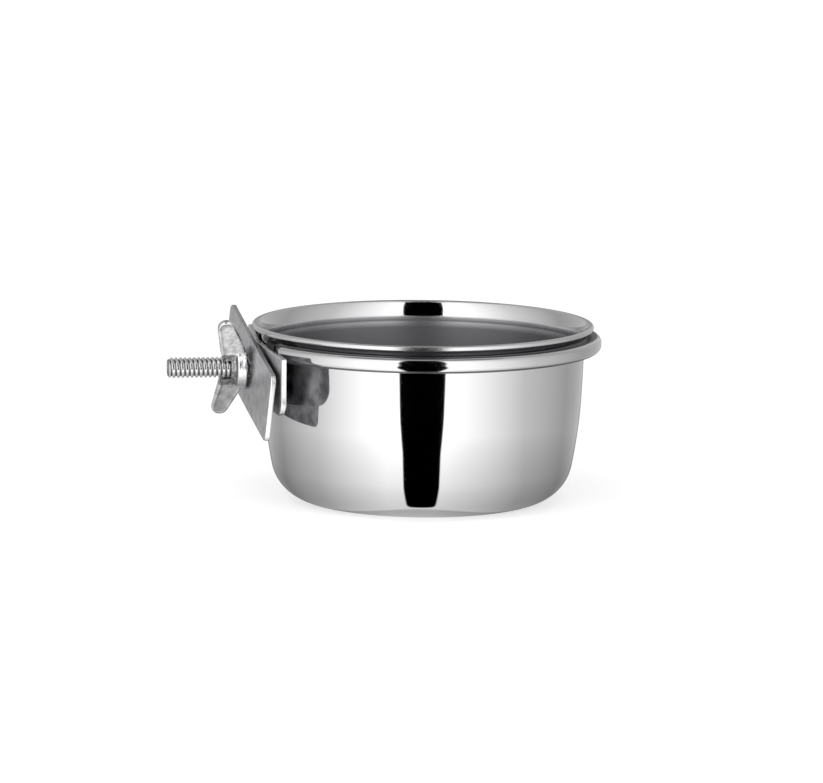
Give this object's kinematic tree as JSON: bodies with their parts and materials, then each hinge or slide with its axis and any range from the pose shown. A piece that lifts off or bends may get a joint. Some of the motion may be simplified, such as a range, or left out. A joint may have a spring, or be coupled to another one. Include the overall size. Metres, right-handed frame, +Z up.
{
  "type": "seed cup",
  "caption": "Polished steel seed cup hanging in an open ring, with a V-shaped bracket, bolt, clamp plate and wing nut that pinch the wires of a cage.",
  "frame": {"origin": "on the cup's axis, at the underside of its base", "axes": "+Z up along the cup's axis, -X along the bolt away from the cup, +Y to the far side as the picture shows it"},
  "size_m": [0.1012, 0.083, 0.0438],
  "materials": {
    "cup_steel": "mirror-polished stainless steel",
    "ring_steel": "polished stainless steel",
    "bracket_steel": "polished stainless steel",
    "bolt_steel": "bright rolled thread",
    "plate_steel": "polished stainless steel",
    "nut_steel": "bright plated steel"
  },
  "bodies": {
    "holder": {"hanger_ring": "ring_steel", "v_bracket": "bracket_steel", "clamp_bolt": "bolt_steel"},
    "cup": {"seed_cup": "cup_steel"},
    "plate": {"clamp_plate": "plate_steel"},
    "nut": {"wing_nut": "nut_steel"}
  },
  "joints": [
    {"name": "cup_lift", "type": "slide", "parent": "holder", "child": "cup", "axis": [0, 0, 1], "range_m": [0, 0.045]},
    {"name": "clamp_slide", "type": "slide", "parent": "holder", "child": "plate", "axis": [-1, 0, 0], "range_m": [0, 0.013]},
    {"name": "nut_spin", "type": "hinge", "parent": "plate", "child": "nut", "pos_m": [-0.0418, 0, 0.03165], "axis": [-1, 0, 0], "range_deg": [0, 4430]}
  ],
  "couplings": [
    {"joint": "nut_spin", "follows": "clamp_slide", "rad_per_m": 5938.7}
  ]
}
